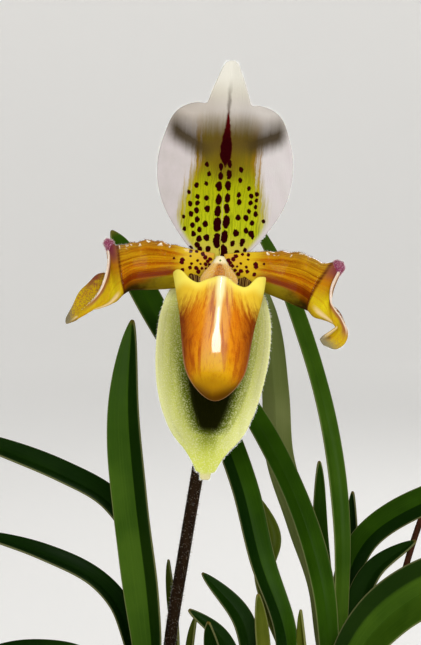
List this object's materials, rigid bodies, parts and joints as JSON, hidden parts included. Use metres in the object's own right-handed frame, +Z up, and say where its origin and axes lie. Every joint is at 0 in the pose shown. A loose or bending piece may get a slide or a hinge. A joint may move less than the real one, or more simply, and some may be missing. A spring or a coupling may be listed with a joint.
{
  "type": "potted slipper orchid",
  "caption": "Slipper orchid in a clay pot: fans of strap leaves in bark and a stem with a flower that has a spotted hood, waved side petals and a glossy pouch.",
  "frame": {"origin": "centre of the flat base that the pot stands on", "axes": "+Z up the pot's axis; the flower faces -Y, with +X to its right as seen from the front"},
  "size_m": [0.1844, 0.14, 0.3111],
  "materials": {
    "clay": "unglazed terracotta, matte",
    "bark": "coarse dark bark chips, matte",
    "leaf": "leathery leaf, half gloss, pale margins",
    "young_leaf": "young yellow-green leaf, half gloss",
    "stem": "purple-brown stem with short hairs",
    "ovary": "green ribbed ovary and bract with short hairs",
    "dorsal": "white sepal, yellow-green centre, maroon spots",
    "synsepal": "pale yellow-green sepal, downy white margin",
    "petal": "glossy orange-brown petal with fine veins",
    "lip": "very glossy orange-brown pouch, yellow rim",
    "column": "waxy yellow shield with downy edge"
  },
  "bodies": {
    "root": {"pot": "clay", "bark_mix": "bark", "scape": "stem", "old_scape": "stem", "ovary": "ovary", "floral_bract": "ovary", "leaf_front_left_1": "leaf", "leaf_front_left_2": "leaf", "leaf_left_1": "leaf", "leaf_left_2": "leaf", "leaf_left_3": "young_leaf", "leaf_left_4": "leaf", "leaf_left_5": "young_leaf", "leaf_middle_1": "leaf", "leaf_middle_2": "leaf", "leaf_middle_3": "leaf", "leaf_middle_4": "leaf", "leaf_middle_5": "young_leaf", "leaf_front_right_1": "young_leaf", "leaf_front_right_2": "leaf", "leaf_right_1": "leaf", "leaf_right_2": "leaf", "leaf_right_3": "leaf", "leaf_right_4": "leaf", "leaf_back_1": "leaf", "leaf_back_2": "leaf", "leaf_back_3": "leaf", "dorsal_sepal": "dorsal", "synsepal": "synsepal", "petal_left": "petal", "petal_right": "petal", "lip_pouch": "lip", "column": "column"}
  },
  "joints": []
}
